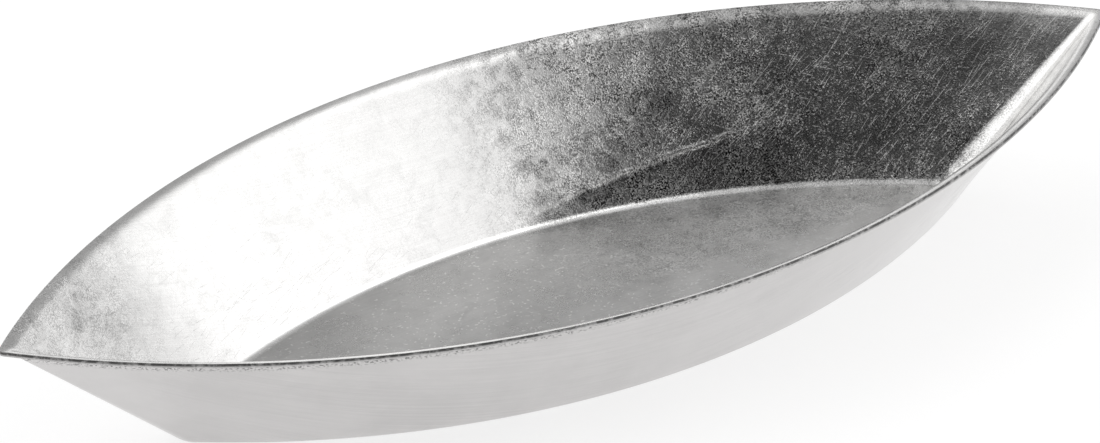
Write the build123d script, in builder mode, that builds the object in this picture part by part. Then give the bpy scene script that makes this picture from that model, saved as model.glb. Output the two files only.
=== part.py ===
from build123d import *

import os
from math import atan2, cos, radians, sin, tan

# Boat-shaped baking mould, a barquette, pressed from one piece of tinplate.
#
# The mould has a pointed-oval rim, a flat pointed-oval floor, and sloping sides that meet in a rounded
# nose at each end. Near the top the sheet flares outward over a soft bend, and it ends in a raw edge,
# trimmed square to the sheet. Nothing is joined to it: the real object is a single pressing, so there
# is one sub-part.
#
# Frame: X runs from nose to nose, Y across, Z up. The origin is the middle of the flat underside.
# All sizes are in millimetres.

# Driving dimensions
HEIGHT = 14.85  # underside of the floor to the top of the rim
SHEET = 0.4  # thickness of the tinplate

RIM_LENGTH = 120.0  # over the trimmed edge
RIM_WIDTH = 50.9
RIM_NOSE_RADIUS = 0.7

NECK_HEIGHT = 14.63  # where the wall's inner skin would meet the flare's without a bend
NECK_LENGTH = 117.2
NECK_NOSE_RADIUS = 0.7
FLARE_SLOPE = radians(12)  # of the flare at the sides, from level

FLOOR_LENGTH = 84.4  # where the wall's inner skin would meet the floor's top without a bend
FLOOR_WIDTH = 30.0
FLOOR_NOSE_RADIUS = 2.6

FLOOR_BEND = 1.0  # bend radii on the inner skin; the outer skin's differ by the sheet's thickness
FLARE_BEND = 2.4

# The flare and the trimmed face are first made this many times their length, so that they cross cleanly
# at the rim's inner edge; the hollow reaches higher than the body
HOLLOW_OVERRUN = 4.0
BODY_OVERRUN = 1.5


def boat_outline(height, length, width, nose_radius):
    """A level pointed oval: two side arcs, joined by a small tangent arc at each nose."""
    nose_centre = length / 2 - nose_radius
    side_radius = (nose_centre**2 - nose_radius**2 + width**2 / 4) / (width - 2 * nose_radius)
    centre = side_radius - width / 2  # each side arc's centre lies this far across the middle line
    reach = side_radius / (side_radius - nose_radius)
    touch_x = nose_centre * reach
    touch_y = centre * (reach - 1)
    with BuildSketch(Plane.XY.offset(height)) as outline:
        with BuildLine():
            ThreePointArc((-touch_x, touch_y), (0, width / 2), (touch_x, touch_y))
            ThreePointArc((touch_x, touch_y), (length / 2, 0), (touch_x, -touch_y))
            ThreePointArc((touch_x, -touch_y), (0, -width / 2), (-touch_x, -touch_y))
            ThreePointArc((-touch_x, -touch_y), (-length / 2, 0), (-touch_x, touch_y))
        make_face()
    return outline.sketch


def moved(outline, out, up):
    """The same boat outline, given as height, length, width and nose radius, moved outward and up."""
    height, length, width, nose_radius = outline
    return height + up, length + 2 * out, width + 2 * out, nose_radius + out


def beyond(first, last, overrun):
    """The outline that runs on past the last of two, along the straight lines between them."""
    return [a + overrun * (b - a) for a, b in zip(first, last)]


def outer_corner(inner, slope_below, slope_above):
    """The outer skin's outline at a change of slope, one sheet away from both of the inner skin's faces."""
    share = SHEET / (1 + cos(slope_above - slope_below))
    out = share * (sin(slope_below) + sin(slope_above))
    return moved(inner, out, -share * (cos(slope_below) + cos(slope_above)))


def ring_edges(outline):
    """The current part's edges that lie level at an outline's height."""
    height = outline[0]
    return edges().filter_by_position(Axis.Z, height - SHEET / 10, height + SHEET / 10)


# The inner skin's outlines, from the floor up, and the outer skin's one sheet outside them
outer_rim = (HEIGHT - SHEET * cos(FLARE_SLOPE), RIM_LENGTH, RIM_WIDTH, RIM_NOSE_RADIUS)
inner_rim = moved(outer_rim, -SHEET * sin(FLARE_SLOPE), SHEET * cos(FLARE_SLOPE))
neck_width = inner_rim[2] - 2 * (HEIGHT - NECK_HEIGHT) / tan(FLARE_SLOPE)
wall_slope = atan2(NECK_HEIGHT - SHEET, (neck_width - FLOOR_WIDTH) / 2)
inner_floor = (SHEET, FLOOR_LENGTH, FLOOR_WIDTH, FLOOR_NOSE_RADIUS)
inner_neck = (NECK_HEIGHT, NECK_LENGTH, neck_width, NECK_NOSE_RADIUS)
outer_floor = outer_corner(inner_floor, 0, wall_slope)
outer_neck = outer_corner(inner_neck, wall_slope, FLARE_SLOPE)

# The space inside the mould, enclosed by the inner skin, and run on above the rim
with BuildPart() as hollow:
    hollow_outlines = (inner_floor, inner_neck, beyond(inner_neck, inner_rim, HOLLOW_OVERRUN))
    loft(sections=[boat_outline(*outline) for outline in hollow_outlines], ruled=True)
    fillet(ring_edges(inner_neck), FLARE_BEND)
    fillet(ring_edges(inner_floor), FLOOR_BEND)

# The pressing: a body inside the outer skin and the trimmed edge, less the hollow
with BuildPart() as mould_body:
    body_outlines = (outer_floor, outer_neck, outer_rim, beyond(outer_rim, inner_rim, BODY_OVERRUN))
    loft(sections=[boat_outline(*outline) for outline in body_outlines], ruled=True)
    fillet(ring_edges(outer_neck), FLARE_BEND - SHEET)
    fillet(ring_edges(outer_floor), FLOOR_BEND + SHEET)
    add(hollow.part, mode=Mode.SUBTRACT)

mould_body.part.label = "mould_body"

os.makedirs("parts", exist_ok=True)
export_step(mould_body.part, "parts/mould_body.step")
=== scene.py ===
from math import asin, atan2, cos, pi, radians, sin, tan

import bpy
import numpy as np
from mathutils import Matrix, Vector


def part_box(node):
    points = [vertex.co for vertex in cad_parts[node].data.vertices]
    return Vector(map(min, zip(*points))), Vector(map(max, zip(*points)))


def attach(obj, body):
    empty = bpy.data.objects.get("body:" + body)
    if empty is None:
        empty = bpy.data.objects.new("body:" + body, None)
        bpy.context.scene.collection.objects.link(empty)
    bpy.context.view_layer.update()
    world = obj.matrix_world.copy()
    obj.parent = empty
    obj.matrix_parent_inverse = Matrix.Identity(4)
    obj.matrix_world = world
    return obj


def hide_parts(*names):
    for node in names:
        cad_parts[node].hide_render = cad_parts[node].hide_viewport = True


# A boat-shaped baking mould, pressed from one sheet of tinplate. Everything is in metres, in the
# frame of the CAD model: X from nose to nose, Y across, Z up, origin in the middle of the underside.

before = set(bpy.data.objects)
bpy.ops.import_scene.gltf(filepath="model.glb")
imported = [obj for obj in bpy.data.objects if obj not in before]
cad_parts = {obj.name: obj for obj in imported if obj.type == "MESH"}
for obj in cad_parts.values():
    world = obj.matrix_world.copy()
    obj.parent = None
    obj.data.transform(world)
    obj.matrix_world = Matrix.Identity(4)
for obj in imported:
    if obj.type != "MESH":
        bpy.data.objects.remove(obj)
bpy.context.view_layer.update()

MM = 0.001

# ---------------------------------------------------------------------------------------------------
# The pressing's shape. Its overall length, width and height are the CAD node's.
# ---------------------------------------------------------------------------------------------------

low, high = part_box("mould_body")
LENGTH, WIDTH, HEIGHT = high - low
SHEET = 0.4 * MM
RIM_NOSE_RADIUS = 0.7 * MM

# Where the inner skin's faces would meet without the bends: at the neck, the wall turns into the flare
NECK_DROP = 0.22 * MM  # below the top of the rim
NECK_REACH = 1.4 * MM  # in from the rim's outermost edge, at a nose
NECK_NOSE_RADIUS = 0.7 * MM
FLARE_SLOPE = radians(12)
FLOOR_LENGTH = 84.4 * MM
FLOOR_WIDTH = 30.0 * MM
FLOOR_NOSE_RADIUS = 2.6 * MM
FLOOR_BEND = 1.0 * MM  # on the inner skin, like FLARE_BEND
FLARE_BEND = 2.4 * MM
CORNER = 0.06 * MM  # radius left on the corners of the cut edge
WAVE = 0.05 * MM  # scale of how far the walls stray from true

# How finely the mesh follows it
SIDE_STEPS = 280  # along each side, from nose to nose
NOSE_STEPS = 12  # round each nose
FLOOR_BEND_STEPS = 10
WALL_STEPS = 26
FLARE_BEND_STEPS = 9
FLARE_STEPS = 2  # from the bend to the cut edge
EDGE_STEPS = 4  # down the cut edge
CORNER_STEPS = 3  # round each corner of the cut edge
FLOOR_ROWS = 36  # across the floor


def station_points(length, width, nose_radius):
    """Points and outward directions round a boat outline: two side arcs and two nose arcs, in plan.

    They start at the left nose's tip and run along the far side (+Y), and back along the near side."""
    nose_centre = length / 2 - nose_radius
    side_radius = (nose_centre**2 - nose_radius**2 + width**2 / 4) / (width - 2 * nose_radius)
    centre = side_radius - width / 2
    side_turn = asin(nose_centre / (side_radius - nose_radius))
    nose_turn = pi / 2 - side_turn
    across = []
    for i in range(NOSE_STEPS):
        a = nose_turn * i / NOSE_STEPS
        across.append((-nose_centre - nose_radius * cos(a), nose_radius * sin(a), -cos(a), sin(a)))
    for i in range(SIDE_STEPS + 1):
        a = side_turn * (2 * i / SIDE_STEPS - 1)
        across.append((side_radius * sin(a), side_radius * cos(a) - centre, sin(a), cos(a)))
    for i in range(1, NOSE_STEPS + 1):
        a = nose_turn * (1 - i / NOSE_STEPS)
        across.append((nose_centre + nose_radius * cos(a), nose_radius * sin(a), cos(a), sin(a)))
    far = np.array(across)
    near = far[-2:0:-1] * (1, -1, 1, -1)
    ring = np.vstack([far, near])
    return ring[:, :2], ring[:, 2:]


def at_height(plan, z):
    return np.column_stack([plan, np.full(len(plan), z)])


def unit(v):
    return v / np.linalg.norm(v, axis=-1, keepdims=True)


def bend(corner, before, after, radius, steps):
    """Rings of an arc that rounds a corner, from the direction before it to the one after it."""
    turn = np.arccos(np.clip((before * after).sum(1), -1, 1))[:, None]
    reach = radius * np.tan(turn / 2)
    start = corner - before * reach
    side = unit(after - before * np.cos(turn))
    rings = []
    for i in range(steps + 1):
        a = turn * i / steps
        rings.append(start + before * radius * np.sin(a) + side * radius * (1 - np.cos(a)))
    return rings


def between(a, b, steps):
    """Rings strictly between two rings."""
    return [a + (b - a) * i / steps for i in range(1, steps)]


def moved(outline, out, up):
    """The same boat outline, given as height, length, width and nose radius, moved outward and up."""
    height, length, width, nose_radius = outline
    return height + up, length + 2 * out, width + 2 * out, nose_radius + out


def outer_corner(inner, slope_below, slope_above):
    """The outer skin's outline at a change of slope, one sheet away from both of the inner skin's faces."""
    share = SHEET / (1 + cos(slope_above - slope_below))
    out = share * (sin(slope_below) + sin(slope_above))
    return moved(inner, out, -share * (cos(slope_below) + cos(slope_above)))


def ring(outline):
    """The outline as a ring of points, with their outward directions."""
    plan, out = station_points(*outline[1:])
    return at_height(plan, outline[0]), at_height(out, 0)


def skin(floor, neck, rim, floor_bend, flare_bend):
    """Rings of one skin, from the floor's edge up the wall and out along the flare, short of the rim."""
    foot, foot_out = ring(floor)
    throat, edge = ring(neck)[0], ring(rim)[0]
    up, away = unit(throat - foot), unit(edge - throat)
    low_bend = bend(foot, foot_out, up, floor_bend, FLOOR_BEND_STEPS)
    high_bend = bend(throat, up, away, flare_bend, FLARE_BEND_STEPS)
    return low_bend + between(low_bend[-1], high_bend[0], WALL_STEPS) + high_bend


outer_rim = (HEIGHT - SHEET * cos(FLARE_SLOPE), LENGTH, WIDTH, RIM_NOSE_RADIUS)
inner_rim = moved(outer_rim, -SHEET * sin(FLARE_SLOPE), SHEET * cos(FLARE_SLOPE))
neck_width = inner_rim[2] - 2 * NECK_DROP / tan(FLARE_SLOPE)
wall_slope = atan2(HEIGHT - NECK_DROP - SHEET, (neck_width - FLOOR_WIDTH) / 2)
inner_floor = (SHEET, FLOOR_LENGTH, FLOOR_WIDTH, FLOOR_NOSE_RADIUS)
inner_neck = (HEIGHT - NECK_DROP, LENGTH - 2 * NECK_REACH, neck_width, NECK_NOSE_RADIUS)
outer_floor = outer_corner(inner_floor, 0, wall_slope)
outer_neck = outer_corner(inner_neck, wall_slope, FLARE_SLOPE)

inner = skin(inner_floor, inner_neck, inner_rim, FLOOR_BEND, FLARE_BEND)
outer = skin(outer_floor, outer_neck, outer_rim, FLOOR_BEND + SHEET, FLARE_BEND - SHEET)
(rim_top, rim_out), rim_low = ring(inner_rim), ring(outer_rim)[0]
face_down = unit(rim_low - rim_top)
top_corner = bend(rim_top, unit(rim_top - inner[-1]), face_down, CORNER, CORNER_STEPS)
low_corner = bend(rim_low, face_down, unit(outer[-1] - rim_low), CORNER, CORNER_STEPS)


def waves(points):
    """How far the sheet strays outward at each point: long, shallow waves that die out at floor and rim."""
    x, y, z = points.T / MM
    side = np.where(y > 0, 0.0, 2.1)
    wave = (np.sin(x / 2.9 + z / 3.1 + side) + np.sin(x / 4.3 - z / 2.2 + 1.7 * side + 1.0)
            + 0.7 * np.sin(x / 1.7 + z / 1.9 - side) + np.sin(x / 7.7 + z / 6.0 + 2.6 * side)) / 3
    height = np.clip(z / (HEIGHT / MM), 0, 1)
    return WAVE * wave * np.sin(pi * height) ** 0.7 * np.clip(np.abs(y) / 3, 0, 1)


def stray(points):
    """A ring moved by the waves, level, along the rim's outward directions."""
    return points + rim_out * waves(points)[:, None]


def zoned(rings, inside, floor, cut):
    """Rings with what the material needs to know of them: the skin, the flat floor and the cut edge."""
    shares = [i / max(len(rings) - 1, 1) for i in range(len(rings))]
    return [(points, inside, floor(share), cut(share)) for points, share in zip(rings, shares)]


def none(share):
    return 0.0


def sheared(share):
    """The cut face is torn and dark over its upper part, and smoother below."""
    return 1.0 if share < 0.55 else 0.45


def low_part(share):
    return min(max(1 - share * (len(inner) - 1) / FLOOR_BEND_STEPS, 0.0), 1.0)


inner, outer = [stray(points) for points in inner], [stray(points) for points in outer]
cut_face = top_corner[1:] + between(top_corner[-1], low_corner[0], EDGE_STEPS) + low_corner[:-1]
zones = (zoned(inner, 1.0, low_part, none)
         + zoned(between(inner[-1], top_corner[0], FLARE_STEPS) + [top_corner[0]], 1.0, none, none)
         + zoned(cut_face, 0.5, none, sheared)
         + zoned([low_corner[-1]] + between(low_corner[-1], outer[-1], FLARE_STEPS), 0.0, none, none)
         + zoned(outer[::-1], 0.0, none, none))
rings = [zone[0] for zone in zones]

verts = np.vstack(rings)
stations = len(rings[0])
faces = []
for r in range(len(rings) - 1):
    for s in range(stations):
        t = (s + 1) % stations
        faces.append((r * stations + s, r * stations + t, (r + 1) * stations + t, (r + 1) * stations + s))


def fill_floor(first, upward):
    """Closes the ring that starts at vertex first with rows of faces from side to side."""
    global verts
    half = stations // 2
    columns = [[first]]
    for c in range(1, half):
        far, near = first + c, first + stations - c
        start = len(verts)
        share = np.arange(1, FLOOR_ROWS)[:, None] / FLOOR_ROWS
        verts = np.vstack([verts, verts[far] + (verts[near] - verts[far]) * share])
        columns.append([far, *range(start, start + FLOOR_ROWS - 1), near])
    columns.append([first + half])
    for a, b in zip(columns, columns[1:]):
        for row in range(FLOOR_ROWS):
            if len(a) == 1:
                face = (a[0], b[row + 1], b[row])
            elif len(b) == 1:
                face = (a[row], a[row + 1], b[0])
            else:
                face = (a[row], a[row + 1], b[row + 1], b[row])
            faces.append(face if upward else face[::-1])


fill_floor(0, True)
fill_floor((len(rings) - 1) * stations, False)

mesh = bpy.data.meshes.new("mould_pressing")
mesh.from_pydata([tuple(v) for v in verts], [], faces)
for name, index in (("inside", 1), ("floor", 2), ("cut", 3)):
    values = [value for zone in zones for value in [zone[index]] * stations]
    on_each_floor = (len(verts) - len(values)) // 2
    values += [zones[0][index]] * on_each_floor + [zones[-1][index]] * on_each_floor
    mesh.attributes.new(name, "FLOAT", "POINT").data.foreach_set("value", values)
mesh.validate()
mesh.polygons.foreach_set("use_smooth", [True] * len(mesh.polygons))
mould = bpy.data.objects.new("mould_pressing", mesh)
bpy.context.scene.collection.objects.link(mould)

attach(mould, "root")
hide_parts("mould_body")

# ---------------------------------------------------------------------------------------------------
# Tinplate
# ---------------------------------------------------------------------------------------------------


class Nodes:
    """Short ways to add and link shader nodes."""

    def __init__(self, tree):
        self.tree = tree
        tree.nodes.clear()

    def add(self, kind, inputs=None, **settings):
        node = self.tree.nodes.new(kind)
        for name, value in settings.items():
            setattr(node, name, value)
        for name, value in (inputs or {}).items():
            if isinstance(value, bpy.types.NodeSocket):
                self.tree.links.new(value, node.inputs[name])
            else:
                node.inputs[name].default_value = value
        return node

    def math(self, operation, a, b=0.0, c=0.0):
        return self.add("ShaderNodeMath", {0: a, 1: b, 2: c}, operation=operation).outputs[0]

    def times(self, product, *factors):
        for factor in factors:
            product = self.math("MULTIPLY", product, factor)
        return product

    def scaled(self, value, factor, base):
        """base + factor * value"""
        return self.math("MULTIPLY_ADD", value, factor, base)

    def noise(self, where, size, detail=2.0, roughness=0.5, distortion=0.0):
        """Noise whose largest features are about that size, in metres."""
        return self.add("ShaderNodeTexNoise", {"Vector": where, "Scale": 1 / size, "Detail": detail,
                                               "Roughness": roughness, "Distortion": distortion}).outputs[0]

    def remap(self, value, low, high, to_low, to_high):
        """The value carried smoothly from one range to another, and held at its ends."""
        return self.add("ShaderNodeMapRange", {0: value, 1: low, 2: high, 3: to_low, 4: to_high},
                        interpolation_type="SMOOTHSTEP").outputs[0]


# The scratches: how each kind is turned from the mould's length, its length, the noise above which it
# shows, and its seed
SCRATCHES = ((30, 4 * MM, 0.765, 3.0), (40, 2.5 * MM, 0.755, 8.0), (20, 3 * MM, 0.775, 15.0),
             (-40, 2 * MM, 0.79, 22.0))
SCRATCH_WIDTH = 0.09 * MM

# How far each kind of mark stands out of the sheet, or cuts into it where negative
GRAIN_RELIEF = 0.026 * MM
COARSE_RELIEF = 0.005 * MM
SPECK_RELIEF = -0.010 * MM
GLINT_RELIEF = -0.016 * MM
GROOVE_RELIEF = 0.003 * MM
LINE_RELIEF = 0.045 * MM
SCRATCH_RELIEF = -0.011 * MM
CLOUD_RELIEF = 0.003 * MM
CLOUD_MORE_INSIDE = 0.010 * MM

# What each kind of mark adds to the tone, as a share of it
RUB_TONE = 0.05
STAIN_TONE = -0.30
SMUDGE_TONE = -0.06
# Painted shade in the wedge at the foot of the far wall
FOOT_SHADE_TONE = -0.55
GROOVE_TONE = 0.10
DARK_EDGE_TONE = -0.85
PEPPER_TONE = -0.62
# Painted light and painted shade on the far wall, on either side of an uneven edge
UNSHADED_SIDE_TONE = 1.11  # the whole tone away from the dark side
PAINTED_SHADE_SIDE_TONE = -0.29
# Painted shade: the outside is painted darker than the inside
OUTSIDE_PAINTED_SHADE_TONE = 0.73  # the whole tone of the outside
INSIDE_TONE = 0.27  # more than the outside's

# What each adds to the roughness
RUBBED_ROUGHNESS = 0.10
GRAIN_ROUGHNESS = 0.10
SCRATCH_ROUGHNESS = 0.12
FLOOR_ROUGHNESS = 0.14
CUT_ROUGHNESS = 0.2


def tinplate():
    material = bpy.data.materials.new("tinplate")
    material.use_nodes = True
    n = Nodes(material.node_tree)
    where = n.add("ShaderNodeTexCoord").outputs["Object"]
    inside, floor, cut = (n.add("ShaderNodeAttribute", attribute_name=name).outputs["Fac"]
                          for name in ("inside", "floor", "cut"))

    # The sheet laid flat: x along the mould, and w out from the middle line and up the wall
    x, y, z = n.add("ShaderNodeSeparateXYZ", {0: where}).outputs
    w = n.scaled(z, 0.6, n.math("ABSOLUTE", y))

    def stretched(angle, length, width, seed):
        """Noise drawn out at an angle to the mould's length, and different on the two sides."""
        c, s = cos(radians(angle)), sin(radians(angle))
        along = n.scaled(x, c / length, n.scaled(w, s / length, seed))
        across = n.scaled(x, -s / width, n.math("MULTIPLY", w, c / width))
        flat = n.add("ShaderNodeCombineXYZ", {0: along, 1: across, 2: n.math("MULTIPLY", y, 1 / (9 * MM))})
        return n.noise(flat.outputs[0], 1.0, 0.0)

    def spots(size, detail, roughness, low, high, to_low=0.0, to_high=1.0, distortion=0.0):
        """Noise whose values from low to high become values from to_low to to_high."""
        return n.remap(n.noise(where, size, detail, roughness, distortion), low, high, to_low, to_high)

    patches = n.noise(where, 8 * MM, 5.0, 0.65)
    cloud = n.noise(where, 2.6 * MM, 3.0, 0.65)
    grain = n.noise(where, 0.13 * MM, 1.0, 0.6)
    coarse = n.noise(where, 0.40 * MM, 2.0, 0.6)
    clumps = spots(1.1 * MM, 3.0, 0.6, 0.36, 0.60, 0.45, 1.2)
    blotches = spots(5 * MM, 4.0, 0.6, 0.42, 0.60, 0.10, -0.22)
    smudges = spots(3.2 * MM, 4.0, 0.65, 0.50, 0.62, distortion=0.6)
    stains = spots(4.5 * MM, 5.0, 0.7, 0.55, 0.60, distortion=0.8)
    dust = spots(0.30 * MM, 0.0, 0.5, 0.70, 0.78, 0.0, 0.35)
    pepper = spots(0.16 * MM, 2.0, 0.6, 0.44, 0.56)
    glint = spots(0.17 * MM, 0.0, 0.5, 0.66, 0.78)
    cell = n.add("ShaderNodeTexVoronoi", {"Vector": where, "Scale": 1 / (0.6 * MM), "Randomness": 1.0})
    speck = n.remap(cell.outputs["Distance"], 0.08, 0.20, 1.0, 0.0)

    # Lines left by drawing the sheet, which run along the mould and fade out at the noses
    grooves = n.times(n.math("SUBTRACT", stretched(2, 14 * MM, 0.16 * MM, 51.0), 0.5),
                      n.remap(n.math("ABSOLUTE", x), 45 * MM, 51 * MM, 1.0, 0.0))
    rubs = n.remap(stretched(24, 7 * MM, 0.9 * MM, 31.0), 0.35, 0.65, -1.0, 1.0)
    scratches = 0.0
    for angle, length, least, seed in SCRATCHES:
        marks = n.remap(stretched(angle, length, SCRATCH_WIDTH, seed), least, least + 0.08, 0.0, 1.0)
        scratches = n.math("MAXIMUM", scratches, marks)

    # A wedge of worse wear and painted shade along the foot of the far wall, under a rubbed line that
    # climbs to the right
    off_floor = n.remap(floor, 0.0, 0.4, 1.0, 0.0)
    above = n.math("SUBTRACT", z, n.scaled(x, 0.16, 0.2 * MM))
    above = n.scaled(cloud, -0.8 * MM, above)
    wedge = n.times(n.remap(x, 1 * MM, 12 * MM, 0.0, 1.0), n.remap(x, 24 * MM, 34 * MM, 1.0, 0.0),
                    n.times(inside, n.remap(y, 3 * MM, 6 * MM, 0.0, 1.0)), off_floor)
    # The wedge at the wall's foot adds grain, and carries painted shade into the tone
    foot = n.times(wedge, n.remap(above, -0.2 * MM, 0.1 * MM, 1.0, 0.0))
    line_off = n.math("ABSOLUTE", n.math("SUBTRACT", above, 0.35 * MM))
    line = n.times(wedge, n.remap(line_off, 0.0, 0.35 * MM, 1.0, 0.0))

    # Painted shade: the far wall is painted darker to the right of an uneven edge, and painted lighter to
    # its left
    edge_off = n.scaled(patches, -16 * MM, x)
    edge_off = n.scaled(cloud, -2.5 * MM, edge_off)
    edge_off = n.scaled(z, -0.9, edge_off)
    far_wall = n.times(inside, n.remap(y, 3 * MM, 5 * MM, 0.0, 1.0), off_floor)
    painted_shade_side = n.times(n.remap(edge_off, 0.6 * MM, 2.0 * MM, 0.0, 1.0), far_wall)

    # The grain is faint over the left half of the mould and strong over the right, with some at the left
    # nose and less at the tip of the right one; the near wall, the floor and the outside are smoother
    worn = n.math("MAXIMUM", n.remap(x, -4 * MM, 14 * MM, 0.10, 1.0),
                  n.remap(x, -34 * MM, -48 * MM, 0.0, 0.45))
    worn = n.times(worn, n.remap(patches, 0.38, 0.54, 0.75, 1.15), clumps,
                   n.remap(x, 44 * MM, 53 * MM, 1.0, 0.45), n.remap(y, -1 * MM, 2 * MM, 0.15, 1.0),
                   n.scaled(inside, 0.85, 0.15), n.remap(floor, 0.0, 0.5, 1.0, 0.45))
    worn = n.math("ADD", worn, n.times(foot, 0.4))
    scratches = n.times(scratches, n.scaled(worn, 0.8, 0.2))

    # Relief, in metres
    height = n.scaled(coarse, COARSE_RELIEF, n.times(grain, GRAIN_RELIEF))
    height = n.scaled(speck, SPECK_RELIEF, height)
    height = n.scaled(glint, GLINT_RELIEF, height)
    height = n.times(height, worn)
    height = n.math("ADD", n.times(n.scaled(inside, CLOUD_MORE_INSIDE, CLOUD_RELIEF), cloud), height)
    for mark, relief in ((grooves, GROOVE_RELIEF), (line, LINE_RELIEF), (scratches, SCRATCH_RELIEF)):
        height = n.scaled(mark, relief, height)
    bump = n.add("ShaderNodeBump", {"Height": height, "Distance": 1.0, "Strength": 1.0}).outputs[0]

    # Burrs and nicks along the cut edge, and just under it on the outside
    torn = n.times(cut, spots(0.6 * MM, 3.0, 0.7, 0.36, 0.56, 0.6, 1.0))
    under_lip = n.times(n.math("SUBTRACT", 1.0, inside), n.remap(z, 12.9 * MM, 13.7 * MM, 0.0, 0.9))
    nicks = n.times(spots(0.26 * MM, 2.0, 0.6, 0.50, 0.62), under_lip)
    dark_edge = n.math("MAXIMUM", torn, nicks)

    # Tone, with a painted highlight on the bend round the floor towards the left and painted shade on it
    # towards the right, and painted shade on the floor itself towards the left
    bend_painted_light_and_shade = n.times(floor, n.math("SUBTRACT", 1.0, floor), n.remap(x, 12 * MM, 30 * MM, 1.4, -1.0))
    # Painted shade on the floor towards the left, and painted light towards the right
    floor_painted_light_and_shade = n.remap(x, -8 * MM, 24 * MM, -0.20, 0.08)
    tone = n.times(
        n.remap(patches, 0.3, 0.7, 0.72, 0.78),
        n.scaled(n.times(rubs, worn), RUB_TONE, 1.0),
        n.scaled(n.times(stains, worn), STAIN_TONE, 1.0),
        n.scaled(blotches, worn, 1.0),
        n.scaled(n.times(smudges, inside), SMUDGE_TONE, 1.0),
        # painted shade right of the far wall's edge, painted light elsewhere
        n.scaled(painted_shade_side, PAINTED_SHADE_SIDE_TONE, UNSHADED_SIDE_TONE),
        n.scaled(foot, FOOT_SHADE_TONE, 1.0),
        n.scaled(grooves, GROOVE_TONE, 1.0),
        n.scaled(dust, floor, 1.0),
        n.math("ADD", bend_painted_light_and_shade, 1.0),
        n.scaled(floor, floor_painted_light_and_shade, 1.0),
        # painted shade on the outside
        n.scaled(inside, INSIDE_TONE, OUTSIDE_PAINTED_SHADE_TONE),
        n.scaled(dark_edge, DARK_EDGE_TONE, 1.0),
        n.scaled(n.times(pepper, worn), PEPPER_TONE, 1.0))

    # The metal is a little warm, and less so inside
    green = n.times(tone, n.scaled(inside, 0.014, 0.980))
    blue = n.times(tone, n.scaled(inside, 0.010, 0.975))
    colour = n.add("ShaderNodeCombineColor", {0: tone, 1: green, 2: blue}).outputs[0]

    # The inside is rubbed duller towards the rim
    rubbed = n.times(inside, n.remap(z, 11.0 * MM, 14.6 * MM, 0.0, 1.0))
    roughness = n.remap(patches, 0.42, 0.66, 0.13, 0.20)
    roughness = n.scaled(rubbed, RUBBED_ROUGHNESS, roughness)
    roughness = n.scaled(n.math("SUBTRACT", 1.0, pepper), n.times(worn, GRAIN_ROUGHNESS), roughness)
    for mark, added in ((scratches, SCRATCH_ROUGHNESS), (floor, FLOOR_ROUGHNESS), (cut, CUT_ROUGHNESS)):
        roughness = n.scaled(mark, added, roughness)
    shader = n.add("ShaderNodeBsdfPrincipled", {"Base Color": colour, "Metallic": 1.0,
                                                "Roughness": roughness, "Normal": bump})
    n.tree.links.new(shader.outputs[0], n.add("ShaderNodeOutputMaterial").inputs[0])
    return material


mesh.materials.append(tinplate())

# ---------------------------------------------------------------------------------------------------
# Floor and light
# ---------------------------------------------------------------------------------------------------

FLOOR_SIZE = 8.0
FLOOR_GAP = 0.02 * MM  # between the floor and the mould's underside
PAPER_TONE = 0.35
PAPER_GLOW = 0.74

floor_mesh = bpy.data.meshes.new("floor")
half = FLOOR_SIZE / 2
corners = [(-half, -half, 0), (half, -half, 0), (half, half, 0), (-half, half, 0)]
floor_mesh.from_pydata(corners, [], [(0, 1, 2, 3)])
floor = bpy.data.objects.new("floor", floor_mesh)
floor.location.z = -FLOOR_GAP
bpy.context.scene.collection.objects.link(floor)
paper = bpy.data.materials.new("paper")
paper.use_nodes = True
n = Nodes(paper.node_tree)
shader = n.add("ShaderNodeBsdfPrincipled", {"Base Color": (PAPER_TONE, PAPER_TONE, PAPER_TONE, 1),
                                            "Roughness": 1.0, "Emission Color": (1, 1, 1, 1),
                                            "Emission Strength": PAPER_GLOW})
n.tree.links.new(shader.outputs[0], n.add("ShaderNodeOutputMaterial").inputs[0])
floor_mesh.materials.append(paper)

# ---------------------------------------------------------------------------------------------------
# Camera
# ---------------------------------------------------------------------------------------------------

CAMERA_TURN = radians(-29.88)  # round the object from looking along +Y
CAMERA_DOWN = radians(29.81)
CAMERA_ROLL = radians(-1.35)
CAMERA_DISTANCE = 770.6 * MM
CAMERA_LENS = 267.2
AIM_RIGHT = -2.17 * MM  # from the origin to the point at the middle of the view
AIM_UP = 8.51 * MM

forward = cos(CAMERA_DOWN)
ahead = Vector((-sin(CAMERA_TURN) * forward, cos(CAMERA_TURN) * forward, -sin(CAMERA_DOWN)))
level = Vector((cos(CAMERA_TURN), sin(CAMERA_TURN), 0))
upright = level.cross(ahead)
right = cos(CAMERA_ROLL) * level + sin(CAMERA_ROLL) * upright
up = cos(CAMERA_ROLL) * upright - sin(CAMERA_ROLL) * level
camera = bpy.data.objects.new("camera", bpy.data.cameras.new("camera"))
camera.data.lens = CAMERA_LENS
camera.data.sensor_width = 36.0
camera.data.clip_start = 0.01
place = AIM_RIGHT * right + AIM_UP * up - CAMERA_DISTANCE * ahead
camera.matrix_world = Matrix.Translation(place) @ Matrix((right, up, -ahead)).transposed().to_4x4()
bpy.context.scene.collection.objects.link(camera)
bpy.context.scene.camera = camera

# The studio, as light from all round: a room that is pale beyond the object and dark behind the camera,
# with a pale ceiling and a bright backdrop low down beyond the object, and a large softbox on each
# side. A dimmer fill underlies the right softbox and reaches further back than it. Directions are
# turns from the camera's heading, clockwise, and heights above the horizon.
ROOM = 0.40
CEILING = 0.62
DARK_END = 0.065
SOFTBOX = 1.38
BACKDROP = 1.15
FILL = 0.34


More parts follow.
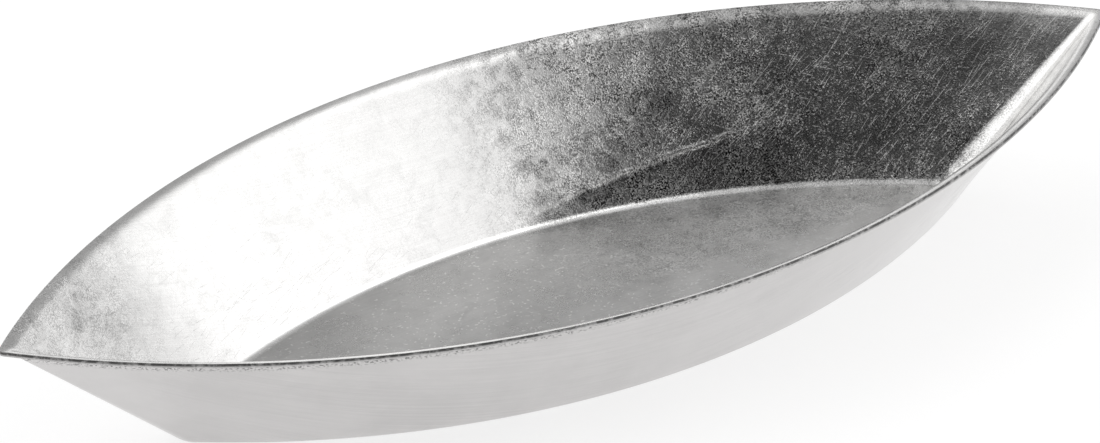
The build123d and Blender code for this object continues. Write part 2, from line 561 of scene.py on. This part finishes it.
def studio():
    world = bpy.data.worlds.new("studio")
    world.use_nodes = True
    bpy.context.scene.world = world
    n = Nodes(world.node_tree)
    direction = n.add("ShaderNodeTexCoord").outputs["Generated"]

    def towards(turn, rise):
        """The cosine of the angle between a direction and the one at that turn and height."""
        heading = CAMERA_TURN - radians(turn)
        level = cos(radians(rise))
        axis = (-sin(heading) * level, cos(heading) * level, sin(radians(rise)))
        dot = n.add("ShaderNodeVectorMath", {0: direction, 1: axis}, operation="DOT_PRODUCT")
        return dot.outputs["Value"]

    def disc(turn, rise, inside, outside):
        """1 within an angle of a direction, falling to 0 at a larger one."""
        return n.remap(towards(turn, rise), cos(radians(outside)), cos(radians(inside)), 0.0, 1.0)

    def short_of(turn, rise, first, last):
        """1 on the far side of a straight edge that faces that direction, falling to 0 across it."""
        return n.remap(towards(turn, rise), first, last, 1.0, 0.0)

    # The right softbox has three straight edges: one beyond the object, one above, and one where the
    # dark end begins, which the fill reaches past. The left softbox is round, and fades towards the
    # dark end.
    right_side = n.times(short_of(-21, -16, -0.30, 0.20), short_of(-80, 20, -0.10, 0.12))
    fill = n.times(right_side, short_of(-137, 13, 0.22, 0.36))
    right_box = n.times(right_side, short_of(-137, 13, 0.03, 0.16))
    left_box = n.times(disc(-80, 30, 38, 64), short_of(140, 0, -0.5, 0.4))
    rise = n.add("ShaderNodeSeparateXYZ", {0: direction}).outputs[2]
    room = n.remap(towards(0, 0), -0.7, 0.1, DARK_END, ROOM)
    light = n.math("MAXIMUM", room, n.remap(rise, 0.66, 0.88, 0.0, CEILING))
    light = n.scaled(right_box, SOFTBOX - ROOM - FILL, light)
    light = n.scaled(fill, FILL, light)
    light = n.scaled(left_box, SOFTBOX - ROOM, light)
    backdrop = n.times(n.remap(rise, 0.12, 0.40, BACKDROP, 0.0),
                       n.remap(towards(0, 0), -0.3, 0.4, 0.0, 1.0))
    light = n.math("MAXIMUM", light, backdrop)
    back = n.add("ShaderNodeBackground", {"Color": (1, 1, 1, 1), "Strength": light})
    n.tree.links.new(back.outputs[0], n.add("ShaderNodeOutputWorld").inputs[0])


studio()
bpy.context.scene.view_settings.view_transform = "Standard"
